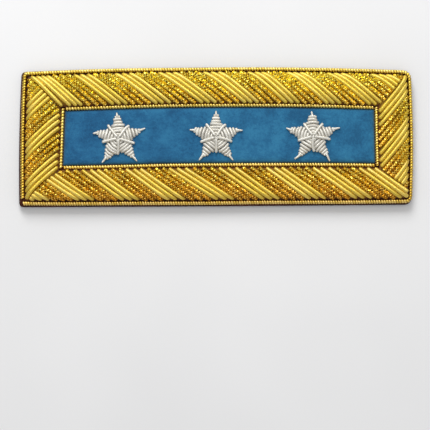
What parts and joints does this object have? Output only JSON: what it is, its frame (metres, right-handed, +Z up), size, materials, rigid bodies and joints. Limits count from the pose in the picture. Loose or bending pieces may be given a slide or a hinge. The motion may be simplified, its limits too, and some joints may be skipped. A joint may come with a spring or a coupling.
{
  "type": "embroidered shoulder board",
  "caption": "Stiff cloth-covered shoulder board with a padded border of slanting gold purl, a blue field in wire cord and silver bullion stars.",
  "frame": {"origin": "middle of the flat underside, on the surface that the board lies on", "axes": "+X along the board, +Y across it towards the bowed edge that the stars point at, +Z up out of the embroidered face"},
  "size_m": [0.1025, 0.0364, 0.0048],
  "materials": {
    "backing_cloth": "near-black woven wool cloth, matt",
    "field_cloth": "sky-blue napped cloth, soft and slightly mottled",
    "cord_gold": "gilt wire coiled close, ridged and bright",
    "padding_felt": "dark yellow padding seen only between the strands",
    "smooth_gold": "fine gilt bullion, satin with a long highlight",
    "check_gold": "faceted gilt bullion, glittering",
    "silver_bullion": "silver-plated bullion, bright satin"
  },
  "bodies": {
    "root": {"backing_board": "backing_cloth", "field_cloth": "field_cloth", "outer_cord": "cord_gold", "inner_cord_top": "cord_gold", "inner_cord_right": "cord_gold", "inner_cord_bottom": "cord_gold", "inner_cord_left": "cord_gold", "border_padding_top": "padding_felt", "border_padding_right": "padding_felt", "border_padding_bottom": "padding_felt", "border_padding_left": "padding_felt", "smooth_purl_top": "smooth_gold", "smooth_purl_right": "smooth_gold", "smooth_purl_bottom": "smooth_gold", "smooth_purl_left": "smooth_gold", "check_purl_top": "check_gold", "check_purl_right": "check_gold", "check_purl_bottom": "check_gold", "check_purl_left": "check_gold", "star_left": "silver_bullion", "star_centre": "silver_bullion", "star_right": "silver_bullion", "star_left_strands": "silver_bullion", "star_centre_strands": "silver_bullion", "star_right_strands": "silver_bullion"}
  },
  "joints": []
}
